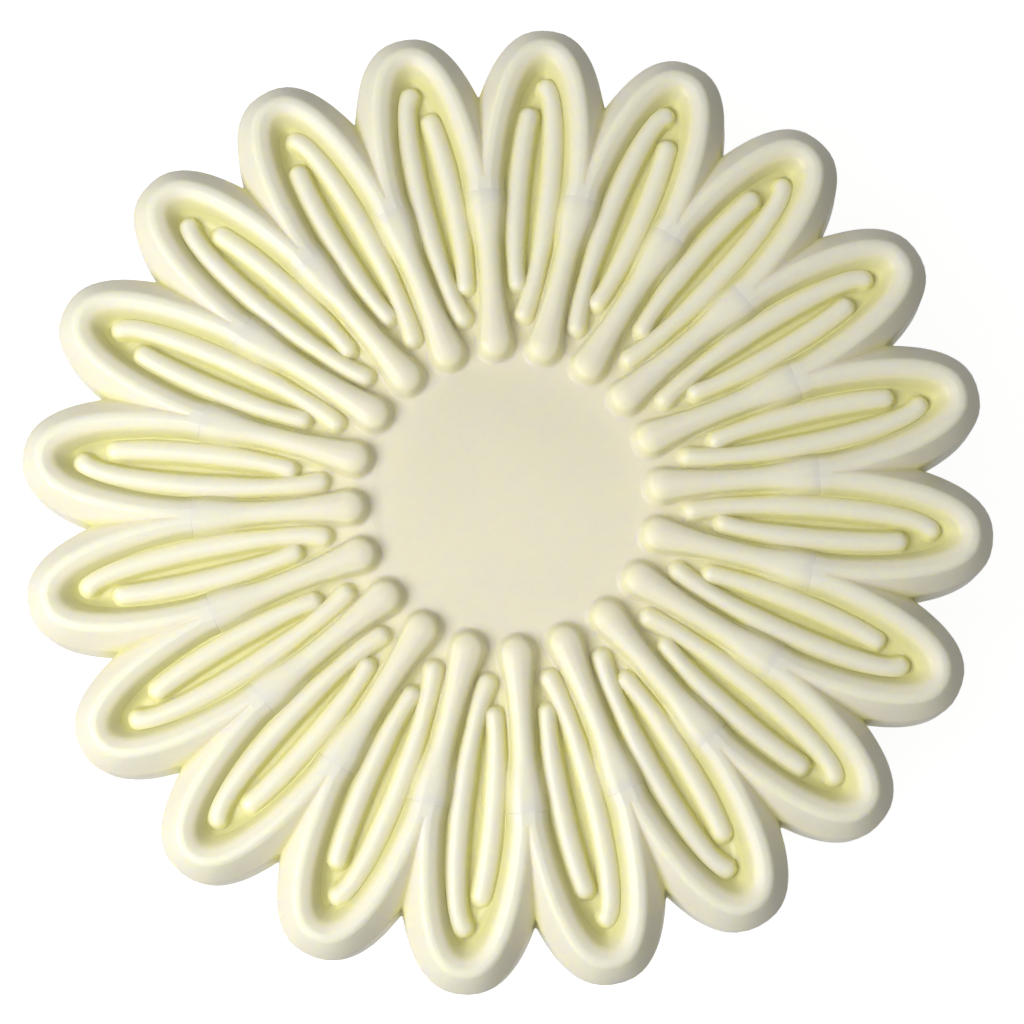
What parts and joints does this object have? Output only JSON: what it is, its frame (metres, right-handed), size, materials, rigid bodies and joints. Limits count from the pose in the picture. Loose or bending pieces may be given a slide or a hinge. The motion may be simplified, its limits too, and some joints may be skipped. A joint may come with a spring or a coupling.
{
  "type": "fondant flower cutter",
  "caption": "Daisy-shaped plunger cutter for sugar paste: scalloped cutting wall around a sprung, veined embossing plate, with a collar and a push knob behind.",
  "frame": {"origin": "middle of the push knob's face, on which the cutter stands with its cutting edge uppermost", "axes": "+Z along the plunger, from the knob to the cutting edge; +X through the middle of a petal"},
  "size_m": [0.105, 0.105, 0.0398],
  "materials": {
    "ivory_plastic": "satin moulded ivory plastic, slightly translucent",
    "ivory_plastic_plate": "satin moulded ivory plastic, slightly translucent",
    "ivory_plastic_stem": "satin moulded ivory plastic, slightly translucent",
    "ivory_plastic_knob": "satin moulded ivory plastic, slightly translucent",
    "spring_steel": "drawn stainless wire"
  },
  "bodies": {
    "cutter": {"cutter_body": "ivory_plastic", "return_spring": "spring_steel"},
    "plunger": {"embossing_plate": "ivory_plastic_plate", "plunger_stem": "ivory_plastic_stem", "push_knob": "ivory_plastic_knob"}
  },
  "joints": [
    {"name": "plunger_press", "type": "slide", "parent": "cutter", "child": "plunger", "axis": [0, 0, 1], "range_m": [0, 0.006], "stiffness_N_per_m": 450, "springref_m": -0.008, "deforming": ["return_spring"]}
  ]
}
